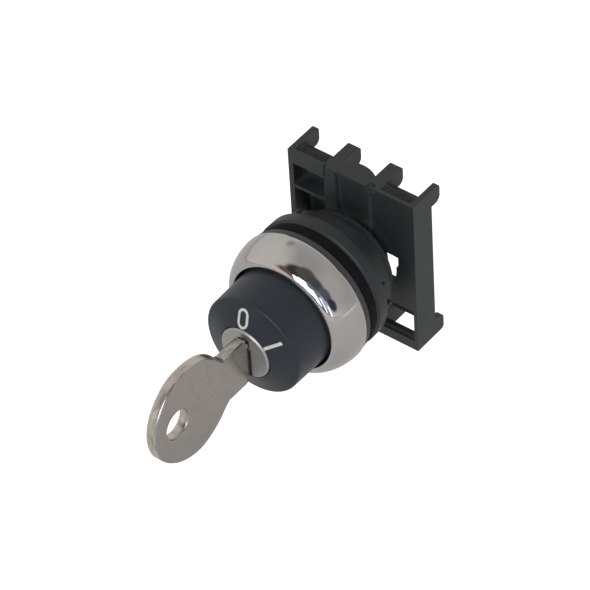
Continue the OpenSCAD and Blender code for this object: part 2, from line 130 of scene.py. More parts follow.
def turned(bm, outline, segments=224, shape=None):
    """Adds a closed ring turned from a (radius, forward) outline; shape may change each point's radius."""
    rings = []
    for i in range(segments):
        turn = 2 * math.pi * i / segments
        ring = []
        for radius, forward in outline:
            r = shape(radius, forward, turn) if shape else radius
            ring.append(bm.verts.new(point(r, forward, turn)))
        rings.append(ring)
    skin(bm, rings + rings[:1])


def box_solid(bm, x, forward, z, edge=0.12):
    """Adds a block with rounded edges, given by its x, forward and z ranges."""
    made = bmesh.ops.create_cube(bm, size=1)
    size = (x[1] - x[0], forward[1] - forward[0], z[1] - z[0])
    centre = ((x[0] + x[1]) / 2, -(forward[0] + forward[1]) / 2, (z[0] + z[1]) / 2)
    bmesh.ops.scale(bm, vec=size, verts=made["verts"])
    bmesh.ops.translate(bm, vec=centre, verts=made["verts"])
    if edge:
        edges = list({e for v in made["verts"] for e in v.link_edges})
        bmesh.ops.bevel(bm, geom=edges, offset=edge, segments=3, profile=0.5, affect="EDGES")


def offset_loop(loop, distance):
    """A closed flat loop moved inwards by a distance; the loop runs anticlockwise."""
    count = len(loop)
    moved = []
    for i, here in enumerate(loop):
        before, after = Vector(loop[i - 1]), Vector(loop[(i + 1) % count])
        along = (after - before).normalized()
        inwards = Vector((-along.y, along.x))
        moved.append(tuple(Vector(here) + inwards * distance))
    return moved


def area(loop):
    """A flat loop's area, which is positive if it runs anticlockwise."""
    return sum(a[0] * b[1] - b[0] * a[1] for a, b in zip(loop, loop[1:] + loop[:1])) / 2


def plate(bm, outline, holes, half, edge, steps=5):
    """Adds a flat plate across X from (forward, z) loops, with its outer and hole edges rounded."""
    profile = []
    for k in range(steps + 1):
        a = math.pi / 2 * k / steps
        profile.append((edge * (1 - math.sin(a)), half - edge * (1 - math.cos(a))))
    profile += [(inset, -x) for inset, x in reversed(profile)]
    faces = {1: [], -1: []}
    for number, loop in enumerate([outline] + holes):
        inward = 1 if number == 0 else -1
        anticlockwise = loop if area(loop) > 0 else loop[::-1]
        rings = []
        for inset, x in profile:
            flat = offset_loop(anticlockwise, inset * inward)
            rings.append([bm.verts.new((x, -f, z)) for f, z in flat])
        skin(bm, rings)
        faces[1].append(rings[0])
        faces[-1].append(rings[-1])
    for loops in faces.values():
        flat = [v for loop in loops for v in loop]
        for triangle in tessellate_polygon([[Vector((v.co.y, v.co.z, 0)) for v in loop] for loop in loops]):
            bm.faces.new([flat[i] for i in triangle])


def flat_faces(obj):
    """Keeps faces square to an axis flat, so that the rounded edge beside them doesn't bend their shading."""
    square = 0.9999
    for face in obj.data.polygons:
        if max(abs(part) for part in face.normal) > square:
            face.use_smooth = False
    return obj


def baked(obj, sharp_angle=None):
    """Turns an object's modifiers into plain mesh."""
    bpy.context.view_layer.update()
    result = bpy.data.meshes.new_from_object(obj.evaluated_get(bpy.context.evaluated_depsgraph_get()))
    obj.modifiers.clear()
    obj.data = finished(result, sharp_angle) if sharp_angle else result
    return obj


def combine(target, tool, operation):
    """Applies a boolean and removes the tool."""
    change = target.modifiers.new("combine", "BOOLEAN")
    change.operation = operation
    change.solver = "EXACT"
    change.object = tool
    baked(target)
    bpy.data.objects.remove(tool)
    return target


def solid(name, build, sharp_angle=SHARP):
    """An object from a function that fills a bmesh."""
    bm = bmesh.new()
    build(bm)
    return to_object(name, bm, sharp_angle)


def smoothed(obj, sharp_angle=SHARP_TURNED):
    """Cleans a mesh and shades it."""
    bm = bmesh.new()
    bm.from_mesh(obj.data)
    bmesh.ops.remove_doubles(bm, verts=bm.verts, dist=WELD)
    bmesh.ops.recalc_face_normals(bm, faces=bm.faces)
    bm.to_mesh(obj.data)
    bm.free()
    finished(obj.data, sharp_angle)
    return obj


def reshaped(obj, build, operation="DIFFERENCE"):
    """Cuts a built shape out of an object, or joins it on, and shades the result."""
    return smoothed(combine(obj, solid("tool", build), operation))


def copy_of(cad_node, made="moulded"):
    """A loose copy of a CAD node's mesh, with the points that its faces share made one."""
    bm = bmesh.new()
    bm.from_mesh(NODES[cad_node].data)
    bmesh.ops.remove_doubles(bm, verts=bm.verts, dist=CAD_WELD)
    mesh = bpy.data.meshes.new(cad_node + "_copy")
    bm.to_mesh(mesh)
    bm.free()
    obj = bpy.data.objects.new(cad_node + "_" + made, mesh)
    bpy.context.scene.collection.objects.link(obj)
    return obj


def soften(obj, width):
    """Rounds an object's sharp edges by a width in millimetres."""
    nearly_flat, sharp = math.radians(0.6), math.radians(40)
    bm = bmesh.new()
    bm.from_mesh(obj.data)
    bmesh.ops.remove_doubles(bm, verts=bm.verts, dist=CAD_WELD)
    bmesh.ops.dissolve_limit(bm, angle_limit=nearly_flat, verts=bm.verts, edges=bm.edges)
    bm.to_mesh(obj.data)
    bm.free()
    change = obj.modifiers.new("round_edges", "BEVEL")
    change.width = width * MM
    change.segments = 2
    change.limit_method = "ANGLE"
    change.angle_limit = sharp
    change.miter_outer = "MITER_ARC"
    return flat_faces(baked(obj, SHARP))


def place(obj, body, material, slot, *stands_for):
    """Puts a finished piece on its body, with its material and the CAD nodes it stands for."""
    obj.data.materials.clear()
    obj.data.materials.append(material)
    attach(obj, body)
    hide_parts(*stands_for)


# ---------------------------------------------------------------- material helpers

def node(tree, kind, inputs=None, **settings):
    """Adds a shader node; an input may be a value or another node's socket."""
    made = tree.nodes.new(kind)
    for key, value in settings.items():
        setattr(made, key, value)
    for key, value in (inputs or {}).items():
        if isinstance(value, bpy.types.NodeSocket):
            tree.links.new(value, made.inputs[key])
        else:
            made.inputs[key].default_value = value
    return made


def math_node(tree, operation, a, b=0.0):
    """The result of a sum or function of one or two values."""
    return node(tree, "ShaderNodeMath", {0: a, 1: b}, operation=operation).outputs[0]


def mapped(tree, value, low, high, to_low, to_high):
    """A value carried from one range to another, clamped."""
    return node(tree, "ShaderNodeMapRange", {"Value": value, "From Min": low, "From Max": high,
                "To Min": to_low, "To Max": to_high}).outputs[0]


def mix_colour(tree, share, a, b):
    """Colour a where the share is 0 and b where it is 1."""
    made = node(tree, "ShaderNodeMix", data_type="RGBA")
    for key, value in ((0, share), (6, a), (7, b)):
        if isinstance(value, bpy.types.NodeSocket):
            tree.links.new(value, made.inputs[key])
        elif key == 0:
            made.inputs[key].default_value = value
        else:
            made.inputs[key].default_value = (*value, 1)
    return made.outputs[2]


def noise(tree, where, scale, detail, rough=0.55):
    """Noise from 0 to 1 with a scale in cells for each millimetre."""
    return node(tree, "ShaderNodeTexNoise", {"Vector": where, "Scale": scale, "Detail": detail,
                "Roughness": rough}).outputs["Fac"]


def spots(tree, where, scale):
    """Distance from scattered points, with a scale in points for each millimetre."""
    return node(tree, "ShaderNodeTexVoronoi", {"Vector": where, "Scale": scale}).outputs["Distance"]


def stretched(tree, where, scale, turn=(0, 0, 0)):
    """Coordinates turned, and scaled differently along each axis."""
    return node(tree, "ShaderNodeMapping", {"Vector": where, "Rotation": turn, "Scale": scale}).outputs[0]


def bump(tree, height, depth_mm, normal=None, strength=1.0):
    """A normal disturbed by a height, on top of another normal if one is given."""
    inputs = {"Height": height, "Distance": depth_mm * MM, "Strength": strength}
    if normal is not None:
        inputs["Normal"] = normal
    return node(tree, "ShaderNodeBump", inputs).outputs[0]


class Surface:
    """Shared start of every material: millimetre coordinates, an edge mask for wear and painted highlights, a
    corner mask for painted shade, and a shader to fill in.
    """

    def __init__(self, name):
        self.material = bpy.data.materials.new(name)
        self.material.use_nodes = True
        self.tree = self.material.node_tree
        self.tree.nodes.clear()
        self.shader = self.tree.nodes.new("ShaderNodeBsdfPrincipled")
        output = self.tree.nodes.new("ShaderNodeOutputMaterial")
        self.tree.links.new(self.shader.outputs[0], output.inputs[0])
        coordinates = self.tree.nodes.new("ShaderNodeTexCoord").outputs["Object"]
        self.place = node(self.tree, "ShaderNodeVectorMath", {0: coordinates, "Scale": 1 / MM},
                          operation="SCALE").outputs[0]

    def edges(self, reach=0.22):
        """A mask of the edges within a reach in millimetres, broken up so that wear, and on metal a painted
        highlight, looks uneven.
        """
        rounded_off = node(self.tree, "ShaderNodeBevel", {"Radius": reach * MM}, samples=4).outputs[0]
        straight = self.tree.nodes.new("ShaderNodeNewGeometry").outputs["Normal"]
        agreement = node(self.tree, "ShaderNodeVectorMath", {0: rounded_off, 1: straight},
                         operation="DOT_PRODUCT").outputs["Value"]
        mask = mapped(self.tree, agreement, 0.80, 0.985, 1, 0)
        broken = mapped(self.tree, noise(self.tree, self.place, 1.7, 4, 0.7), 0.35, 0.65, 0.25, 1)
        return math_node(self.tree, "MULTIPLY", mask, broken)

    def painted_shade_openness(self, reach=2.5):
        """How open a place is, from 0 in a tight corner to 1 on a free face, from ambient occlusion: it places
        painted shade and painted light in corners.
        """
        free = node(self.tree, "ShaderNodeAmbientOcclusion", {"Distance": reach * MM}, samples=6).outputs["AO"]
        return mapped(self.tree, free, 0.35, 0.85, 0, 1)

    def radial(self):
        """Distance from the switch axis in millimetres, and the three coordinates."""
        parts = node(self.tree, "ShaderNodeSeparateXYZ", {0: self.place}).outputs
        squares = math_node(self.tree, "ADD", math_node(self.tree, "MULTIPLY", parts[0], parts[0]),
                            math_node(self.tree, "MULTIPLY", parts[2], parts[2]))
        return math_node(self.tree, "SQRT", squares), parts

    def finish(self, **inputs):
        """Fills the shader's inputs, each with a value or a node's socket."""
        for key, value in inputs.items():
            socket = self.shader.inputs[key.replace("_", " ")]
            if isinstance(value, bpy.types.NodeSocket):
                self.tree.links.new(value, socket)
            else:
                socket.default_value = value
        return self.material


DUST = (0.35, 0.34, 0.32)


def plastic(name, colour, rough, grain, grain_scale, worn=(0.10, 0.105, 0.11), wear=0.3, dust=0.05, gloss=0.5,
            painted_corner_light=0.045):
    """Moulded plastic: spark-eroded grain, slow roughness changes, pale worn edges, a little dust, and painted
    shade and light in corners.

    Grain is in millimetres of depth and grain_scale in cells for each millimetre; the corner light argument is
    painted light. In tight corners the colour is scaled down and that light is added, which is painted shade
    on pale plastics and painted light on dark ones.
    """
    s = Surface(name)
    t = s.tree
    slow = noise(t, s.place, 0.16, 3, 0.6)
    fine = noise(t, s.place, grain_scale, 4, 0.65)
    cells = spots(t, s.place, grain_scale * 0.8)
    scuffs = noise(t, stretched(t, s.place, (0.5, 6, 1.4)), 1.0, 5, 0.75)
    scuff_mask = mapped(t, scuffs, 0.62, 0.72, 0, 1)
    specks = mapped(t, noise(t, s.place, 3.1, 2, 0.5), 0.70, 0.78, 0, 1)
    tone = mix_colour(t, mapped(t, slow, 0.3, 0.7, 0, 0.35), colour, tuple(c * 1.35 + 0.002 for c in colour))
    tone = mix_colour(t, math_node(t, "MULTIPLY", specks, dust), tone, DUST)
    tone = mix_colour(t, math_node(t, "MULTIPLY", s.edges(), wear), tone, worn)
    # Painted shade and painted light in tight corners: where ambient occlusion finds little room, the colour
    # is scaled down and the corner light is added.
    painted_corner_share = s.painted_shade_openness()
    tone = mix_colour(t, painted_corner_share, tuple(c * 0.6 + painted_corner_light for c in colour), tone)
    roughness = math_node(t, "ADD", mapped(t, slow, 0.25, 0.75, rough - 0.05, rough + 0.06),
                          math_node(t, "MULTIPLY", scuff_mask, 0.12))
    height = math_node(t, "ADD", fine, math_node(t, "MULTIPLY", cells, 0.6))
    normal = bump(t, height, grain)
    normal = bump(t, scuffs, grain * 0.4, normal, 0.5)
    # Painted shade on the gloss as well: the specular level drops in tight corners.
    shine = mapped(t, painted_corner_share, 0, 1, gloss * 0.4, gloss)
    return s.finish(Base_Color=tone, Roughness=roughness, Normal=normal, Specular_IOR_Level=shine)


def rubber(name, colour):
    """Matte seal rubber with a moulding bloom and fine pits."""
    s = Surface(name)
    t = s.tree
    bloom = noise(t, s.place, 0.5, 5, 0.7)
    pits = spots(t, s.place, 7.0)
    tone = mix_colour(t, mapped(t, bloom, 0.45, 0.75, 0, 0.5), colour, tuple(c * 2.2 + 0.003 for c in colour))
    normal = bump(t, math_node(t, "ADD", pits, bloom), 0.012)
    return s.finish(Base_Color=tone, Roughness=mapped(t, bloom, 0.3, 0.7, 0.62, 0.85), Normal=normal,
                    Specular_IOR_Level=0.15)


def metal(name, colour, rough, brushed, tarnish, stain, wear, scratch, ripple=0.0, reach=0.3, polish_and_highlight=1.35,
          stamped=None):
    """Bare or plated metal: brushing along one direction, hairline scratches, stains, and polished edges
    lightened further as a painted highlight.

    Brushed is "turned" or a scale along each axis; scratch and ripple are depths and reach a width in
    millimetres; stamped is the colour of a plate's cut edge, which shows layers.
    """
    s = Surface(name)
    t = s.tree
    cloud = noise(t, s.place, 0.35, 4, 0.6)
    if brushed == "turned":
        distance, parts = s.radial()
        around = math_node(t, "ARCTAN2", parts[0], parts[2])
        fine, coarse = 9.0, 0.8
        lines = node(t, "ShaderNodeCombineXYZ", {0: math_node(t, "MULTIPLY", distance, fine),
                     1: math_node(t, "MULTIPLY", around, coarse),
                     2: math_node(t, "MULTIPLY", parts[1], fine)}).outputs[0]
    else:
        lines = stretched(t, s.place, brushed)
    brushing = noise(t, lines, 1.0, 4, 0.7)
    hair = noise(t, stretched(t, s.place, (0.35, 11, 11), (0.4, 0.2, 0.9)), 1.0, 3, 0.6)
    scratches = mapped(t, hair, 0.66, 0.70, 0, 1)
    tone = mix_colour(t, math_node(t, "MULTIPLY", mapped(t, cloud, 0.5, 0.8, 0, 1), stain), colour, tarnish)
    if stamped:
        normals = t.nodes.new("ShaderNodeTexCoord").outputs["Normal"]
        facing = node(t, "ShaderNodeSeparateXYZ", {0: normals}).outputs[0]
        cut_face = mapped(t, math_node(t, "ABSOLUTE", facing), 0.35, 0.75, 1, 0)
        layers = noise(t, stretched(t, s.place, (2.2, 0.35, 0.35)), 1.0, 4, 0.65)
        layered = mix_colour(t, mapped(t, layers, 0.50, 0.64, 0, 0.6), stamped, tarnish)
        tone = mix_colour(t, cut_face, tone, layered)
    # Edges are lightened: partly real polish from wear, partly a painted highlight.
    most = 0.95
    polished_highlight = tuple(min(most, c * polish_and_highlight) for c in colour)
    tone = mix_colour(t, math_node(t, "MULTIPLY", s.edges(reach), wear), tone, polished_highlight)
    roughness = math_node(t, "ADD", mapped(t, brushing, 0.3, 0.7, rough * 0.8, rough * 1.25),
                          math_node(t, "MULTIPLY", mapped(t, cloud, 0.4, 0.7, 0, 1), rough * 0.25))
    roughness = math_node(t, "ADD", roughness, math_node(t, "MULTIPLY", scratches, 0.08))
    normal = bump(t, brushing, scratch)
    normal = bump(t, scratches, scratch * 0.6, normal, 0.4)
    if ripple:
        normal = bump(t, noise(t, s.place, 0.12, 1, 0.4), ripple, normal)
    return s.finish(Base_Color=tone, Metallic=1.0, Roughness=roughness, Normal=normal)


def paint(name, colour):
    """Printed paint: thin, slightly uneven, with a few pinholes."""
    s = Surface(name)
    t = s.tree
    film = noise(t, s.place, 4.0, 3, 0.6)
    holes = mapped(t, noise(t, s.place, 9.0, 2, 0.5), 0.70, 0.76, 0, 0.35)
    tone = mix_colour(t, mapped(t, film, 0.35, 0.7, 0, 0.3), colour, tuple(c * 0.86 for c in colour))
    tone = mix_colour(t, holes, tone, (0.25, 0.25, 0.24))
    return s.finish(Base_Color=tone, Roughness=mapped(t, film, 0.3, 0.7, 0.38, 0.55),
                    Normal=bump(t, film, 0.008))


CHROME = metal("chrome", (0.60, 0.585, 0.565), 0.055, (1.2, 1.2, 1.2), (0.42, 0.38, 0.33), 0.10, 0.2, 0.0004,
               ripple=0.01)
# The key's edges carry a strong painted highlight on top of their polish.
NICKEL_KEY = metal("nickel_key", (0.472, 0.446, 0.413), 0.24, (9, 0.7, 9), (0.26, 0.20, 0.15), 0.2, 0.9,
                   0.0035, reach=0.25, polish_and_highlight=1.6, stamped=(0.66, 0.615, 0.56))
NICKEL_FACE = metal("nickel_face", (0.50, 0.492, 0.478), 0.40, "turned", (0.30, 0.27, 0.24), 0.15, 0.6, 0.003)
STEEL = metal("steel", (0.56, 0.56, 0.57), 0.28, (5, 5, 5), (0.35, 0.32, 0.28), 0.15, 0.4, 0.003)
SPRING_STEEL = metal("spring_steel", (0.50, 0.50, 0.52), 0.25, (8, 8, 8), (0.33, 0.28, 0.22), 0.2, 0.3, 0.002)
BRASS = metal("brass", (0.62, 0.46, 0.20), 0.30, (7, 2, 7), (0.35, 0.22, 0.08), 0.3, 0.4, 0.003)
ZINC = metal("zinc", (0.50, 0.485, 0.45), 0.42, (3, 3, 3), (0.36, 0.33, 0.28), 0.25, 0.3, 0.006)
CAP_PLASTIC = plastic("cap_plastic", (0.0185, 0.0245, 0.0315), 0.36, 0.0035, 6.0, (0.07, 0.08, 0.09), 0.25,
                      gloss=0.4)
BODY_PLASTIC = plastic("body_plastic", (0.034, 0.037, 0.041), 0.45, 0.006, 5.0)
NUT_PLASTIC = plastic("nut_plastic", (0.0165, 0.018, 0.0195), 0.40, 0.006, 4.5)
# The adapter gets stronger painted light in its corners.
ADAPTER_PLASTIC = plastic("adapter_plastic", (0.0235, 0.0255, 0.0262), 0.46, 0.010, 4.0, painted_corner_light=0.09)
GUIDE_PLASTIC = plastic("guide_plastic", (0.030, 0.031, 0.033), 0.45, 0.006, 5.0)
CAM_PLASTIC = plastic("cam_plastic", (0.66, 0.62, 0.54), 0.38, 0.004, 5.0, (0.8, 0.78, 0.72), 0.2, 0.03)
PLUNGER_PLASTIC = plastic("plunger_plastic", (0.50, 0.05, 0.03), 0.36, 0.004, 5.0, (0.7, 0.25, 0.2), 0.2,
                          0.03)
RUBBER = rubber("rubber", (0.0045, 0.0045, 0.005))
PAINT = paint("legend_print", (0.74, 0.73, 0.69))


# ---------------------------------------------------------------- cap, front ring, gasket, body and nut

CAP, BEZEL, BODY = Extent("front_cap"), Extent("bezel_ring"), Extent("actuator_body")
GASKET, NUT, PLUG = Extent("panel_gasket"), Extent("ring_nut"), Extent("lock_plug")
SHELL, KEY = Extent("lock_shell"), Extent("key")
FACE_HOLE = 5.55 + 0.12  # the lock's head, and the gap around it
EDGE_RADIUS, EDGE_DROP = 10.0, 1.9
SLEEVE_BORE = 10.78  # the gasket's and the nut's bore on the sleeve
THREAD_PITCH, THREAD_DEPTH = 1.5, 0.44


def face_height(radius):
    """Forward place of the cap's sloping face at a radius."""
    return CAP.front - EDGE_DROP * (radius - FACE_HOLE) / (EDGE_RADIUS - FACE_HOLE)


def build_cap(bm):
    """The cap's section: its neck with the seal's groove, then the side, the rounded edge and the face."""
    bore, neck, groove = 7.1, 9.2, 8.35
    groove_back, groove_front = 0.9, 2.2
    entry, shoulder, rounding = 11.05, 10.75, 0.75
    base = CAP.back + 4.77
    side_top = face_height(EDGE_RADIUS) - rounding
    outline = [(bore, CAP.back), (neck, CAP.back), (neck, groove_back), (groove, groove_back),
               (groove, groove_front), (neck, groove_front), (neck, base)]
    outline += [(entry - 0.1, base), (entry, base + 0.1)]
    outline += [(entry + (shoulder - entry) * t, base + (side_top - base) * t)
                for t in (0.25, 0.5, 0.75, 0.97)]
    outline += arc((shoulder - rounding, side_top), rounding, 4, 62, 9)
    outline += [(EDGE_RADIUS + 0.12, face_height(EDGE_RADIUS) - 0.005)]
    outline += [(r, face_height(r)) for r in (9.8, 9.0, 8.0, 7.0, 6.2)]
    outline += [(FACE_HOLE + 0.16, CAP.front - 0.06), (FACE_HOLE + 0.05, CAP.front - 0.09),
                (FACE_HOLE, CAP.front - 0.2), (FACE_HOLE, SHELL.front + 0.05), (bore, SHELL.front + 0.05)]
    turned(bm, outline)


def build_cap_slot(bm):
    """The slot along the bottom of the cap's bore."""
    box_solid(bm, (-0.85, 0.85), (-2, 18.05), (-7.85, -6), 0)


cap = reshaped(solid("front_cap_moulded", build_cap, SHARP_TURNED), build_cap_slot)
place(cap, "housing", CAP_PLASTIC, "cap_plastic", "front_cap")


def build_bezel(bm):
    """The ring's section: a flat back, and a superellipse from the outer edge to the crest."""
    lip, crest = 11.37, 11.72
    start, power = BEZEL.back + 0.6, 1.83
    steps = 72
    outline = [(lip, BEZEL.back), (BEZEL.radius - 0.25, BEZEL.back), (BEZEL.radius - 0.1, BEZEL.back + 0.06),
               (BEZEL.radius - 0.02, BEZEL.back + 0.2)]
    for i in range(steps + 1):
        a = math.pi / 2 * i / steps
        outline.append((crest + (BEZEL.radius - crest) * math.cos(a) ** (2 / power),
                        start + (BEZEL.front - start) * math.sin(a) ** (2 / power)))
    outline += arc((crest - 0.02, BEZEL.front - 0.3), 0.3, 88, 170, 8)
    outline += [(lip, BEZEL.front - 0.45), (lip, BEZEL.front - 1.2)]
    turned(bm, outline, 320)


bezel = solid("bezel_ring_chromed", build_bezel, SHARP_TURNED)
place(bezel, "housing", CHROME, "bezel_chrome", "bezel_ring")


def build_gasket(bm):
    turned(bm, rounded([(SLEEVE_BORE, GASKET.back, 0.1), (GASKET.radius - 0.15, GASKET.back, 0.3),
                        (GASKET.radius, (GASKET.back + GASKET.front) / 2, 0.5),
                        (GASKET.radius - 0.1, GASKET.front, 0.25), (SLEEVE_BORE, GASKET.front, 0.1)]))


def build_gasket_notch(bm):
    box_solid(bm, (-1.65, 1.65), (-1, 4), (9.5, 12.2), 0.1)


gasket = reshaped(solid("panel_gasket_rubber", build_gasket, SHARP_TURNED), build_gasket_notch)
place(gasket, "housing", RUBBER, "gasket_rubber", "panel_gasket")


def thread(radius, forward, turn):
    """The sleeve's radius with its thread, which fades in and out at the sleeve's ends."""
    first, last, run_out = BODY.back + 0.5, -0.4, 0.7
    inner_wall, crest, flank = 10, 1.25, 5
    if radius < inner_wall or not first < forward < last:
        return radius
    phase = (forward / THREAD_PITCH + turn / (2 * math.pi)) % 1
    depth = min(1, max(0, crest - abs(phase - 0.5) * flank))
    fade = min(1, (forward - first) / run_out, (last - forward) / run_out)
    return radius - THREAD_DEPTH * depth * fade


def build_body(bm):
    """Sleeve and flange, with enough points along the sleeve to carry the thread."""
    bore, sleeve, flange = 9.3, 10.7, BODY.radius
    rear = BODY.back
    steps = 92
    outline = [(bore, rear + 0.15), (bore + 0.15, rear), (sleeve - 0.45, rear), (sleeve - 0.35, rear + 0.05)]
    outline += [(sleeve, rear + 0.4 + (GASKET.front - rear - 0.5) * i / steps) for i in range(steps + 1)]
    outline += rounded([(sleeve, GASKET.front, 0.0), (flange - 0.05, GASKET.front, 0.28),
                        (flange, BODY.front, 0.12), (bore, BODY.front, 0.1)])
    turned(bm, outline, shape=thread)


def build_body_lug(bm):
    box_solid(bm, (-1.55, 1.55), (0.02, 2.55), (10.2, 12.05))


body = reshaped(solid("actuator_body_moulded", build_body, SHARP_TURNED), build_body_lug, "UNION")
place(body, "housing", BODY_PLASTIC, "body_plastic", "actuator_body")


def build_nut(bm):
    hub, rim, front, step = 12.5, -3.0, -0.02, 0.28
    turned(bm, rounded([(SLEEVE_BORE, NUT.back, 0.15), (hub, NUT.back, 0.3), (hub, rim, 0.12),
                        (NUT.radius - 0.05, rim, 0.22), (NUT.radius, -0.55, 0.15),
                        (NUT.radius - step, -0.35, 0.08), (NUT.radius - step, front, 0.05),
                        (SLEEVE_BORE, front, 0.05)], 4))


def build_nut_lugs(bm):
    """The locating lug and the three ribs behind the nut's flange."""
    for turn, half, rear in ((77, 1.7, -3.9), (-29.5, 0.3, -4.5), (90.5, 0.3, -4.5), (210.5, 0.3, -4.5)):
        before = set(bm.verts)
        box_solid(bm, (-half, half), (rear, -2.9), (NUT.radius - 1.1, NUT.radius - 0.12), 0.1)
        fresh = [v for v in bm.verts if v not in before]
        bmesh.ops.rotate(bm, cent=(0, 0, 0), matrix=Matrix.Rotation(math.radians(turn), 3, "Y"), verts=fresh)


nut = reshaped(solid("ring_nut_moulded", build_nut, SHARP_TURNED), build_nut_lugs, "UNION")
place(nut, "housing", NUT_PLASTIC, "nut_plastic", "ring_nut")


# ---------------------------------------------------------------- printed marks

LEGEND_TURN = -5.5  # degrees by which the cap sits round from the top, and the lean of each mark
LEGEND_LEAN = 3.5
TURN_ANGLE = 60.0


def stadium(width, height, steps=18):
    """A loop with straight sides and half-round ends."""
    half, reach = width / 2, (height - width) / 2
    return arc((0, reach), half, 0, 180, steps) + arc((0, -reach), half, 180, 360, steps)


def spin(u, v, degrees):
    """A flat place turned clockwise about the origin."""
    a = math.radians(degrees)
    return u * math.cos(a) + v * math.sin(a), v * math.cos(a) - u * math.sin(a)


def printed(name, outer, inner, turn, radius, lean):
    """A raised printed mark on the cap's sloping face, from flat loops about its centre."""
    def lay(loop, height, inset):
        ring = []
        for u, v in offset_loop(loop, inset):
            u, v = spin(u, v, lean)
            x, z = spin(u, v + radius, turn)
            ring.append((x, -(face_height(math.hypot(x, z)) + height), z))
        return ring

    # Height above the face and inset of each ring, from the foot of the print to its top.
    levels = [(-0.02, 0.0), (0.03, 0.0), (0.052, 0.012), (0.058, 0.035)]
    bm = bmesh.new()
    tops, bottoms = [], []
    for number, loop in enumerate([outer] + ([inner] if inner else [])):
        sign = 1 if number == 0 else -1
        rings = [[bm.verts.new(p) for p in lay(loop, h, inset * sign)] for h, inset in levels]
        skin(bm, rings)
        tops.append(rings[-1])
        bottoms.append(rings[0])
    for loops in (tops, bottoms):
        if inner:
            skin(bm, loops)
        else:
            bm.faces.new(loops[0])
    return to_object(name, bm, 40)


BAR = rounded([(side * 0.34, end * 1.82, 0.08) for side, end in ((-1, -1), (1, -1), (1, 1), (-1, 1))], 4)
zero = printed("legend_zero_printed", stadium(2.42, 3.75), stadium(1.36, 2.8), LEGEND_TURN, 7.6, -LEGEND_LEAN)
one = printed("legend_one_printed", BAR, None, LEGEND_TURN + TURN_ANGLE, 7.45, LEGEND_LEAN)
place(zero, "housing", PAINT, "legend_paint", "legend_zero")
place(one, "housing", PAINT, "legend_paint", "legend_one")


# ---------------------------------------------------------------- key

SHANK = (-6.55, 4.45)  # its z range
SHANK_END = PLUG.front + 0.6
KEY_HALF = KEY.right
BLADE_TOP, BLADE_BOTTOM = 3.2, -3.4
CUT_DEPTHS, CUT_PITCH = (0.5, 1.1, 0.3, 0.8, 0.4), 2.9
BOW_OUTLINE = (  # forward and z
    (28.4, -6.5), (29.1, -6.95), (29.9, -7.6), (30.8, -8.45), (32.0, -9.4), (33.6, -10.4), (35.5, -11.2),
    (37.3, -11.62), (39.1, -11.6), (40.9, -11.3), (42.6, -10.7), (44.3, -9.8), (45.9, -8.6), (47.5, -7.0),
    (48.8, -5.1), (49.55, -2.9), (49.88, -0.8), (49.8, 1.1), (49.35, 3.0), (48.6, 4.75), (47.6, 6.2),
    (46.3, 7.6), (44.8, 8.8), (43.1, 9.62), (41.6, 10.0), (40.0, 10.12), (38.3, 10.1), (36.9, 9.85),
    (35.6, 9.55), (34.4, 9.05), (33.2, 8.3), (32.1, 7.4), (31.2, 6.5), (30.5, 5.6), (30.0, 5.0), (29.6, 4.62),
)


def spline(points, steps=4):
    """A smooth open curve through points."""
    curve = []
    last = len(points) - 1
    for i in range(last):
        p = [Vector(points[max(0, min(last, i + k))]) for k in (-1, 0, 1, 2)]
        for step in range(steps):
            t = step / steps
            curve.append(tuple(0.5 * (2 * p[1] + (p[2] - p[0]) * t
                                      + (2 * p[0] - 5 * p[1] + 4 * p[2] - p[3]) * t * t
                                      + (3 * p[1] - p[0] - 3 * p[2] + p[3]) * t ** 3)))
    return curve + [tuple(points[-1])]


def build_key_head(bm):
    """Bow and shank: one plate with rounded edges and the ring hole."""
    outline = spline(BOW_OUTLINE)
    outline += [(29.1, SHANK[1] + 0.02), (SHANK_END + 0.5, SHANK[1]), (SHANK_END + 0.15, SHANK[1] - 0.15),
                (SHANK_END, SHANK[1] - 0.5), (SHANK_END, SHANK[0] + 0.5), (SHANK_END + 0.15, SHANK[0] + 0.15),
                (SHANK_END + 0.5, SHANK[0]), (27.6, SHANK[0])]
    hole = arc((PLUG.front + 21.1, -0.5), 3.1, 0, 355, 71)
    plate(bm, outline, [hole], KEY_HALF, 0.36)


def build_blade(bm):
    """The blade: a grooved section swept to the tip, with the coded cuts in its upper edge."""
    taper_length, taper_top, taper_bottom = 1.94, 0.93, 1.05
    groove, chamfer, slant = 0.55, 0.12, 0.02
    low, high = (-1.95, -0.75), (0.75, 1.95)
    cuts = [(17 - CUT_PITCH * i, depth) for i, depth in enumerate(CUT_DEPTHS)]
    tip = KEY.back
    stations = sorted({tip, tip + 0.6, tip + 1.2, tip + 1.8, PLUG.front - 1.85, SHANK_END + 0.6}
                      | {c + d * k for c, d in cuts for k in (-1, 0, 1)})
    rings = []
    for forward in stations:
        taper = max(0, taper_length - (forward - tip))
        top = min(BLADE_TOP - max(0, depth - abs(forward - centre)) for centre, depth in cuts)
        top, bottom = min(top, BLADE_TOP - taper * taper_top), BLADE_BOTTOM + taper * taper_bottom
        h, g, c = KEY_HALF, KEY_HALF - groove, chamfer
        section = [(-h + c, bottom), (h - c, bottom), (h, bottom + c), (h, high[0]), (g, high[0] + slant),
                   (g, high[1] - slant), (h, high[1]), (h, top - c), (h - c, top), (-h + c, top),
                   (-h, top - c), (-h, low[1]), (-g, low[1] - slant), (-g, low[0] + slant), (-h, low[0]),
                   (-h, bottom + c)]
        rings.append([bm.verts.new((x, -forward, z)) for x, z in section])
    skin(bm, rings)
    bm.faces.new(rings[0])
    bm.faces.new(rings[-1])


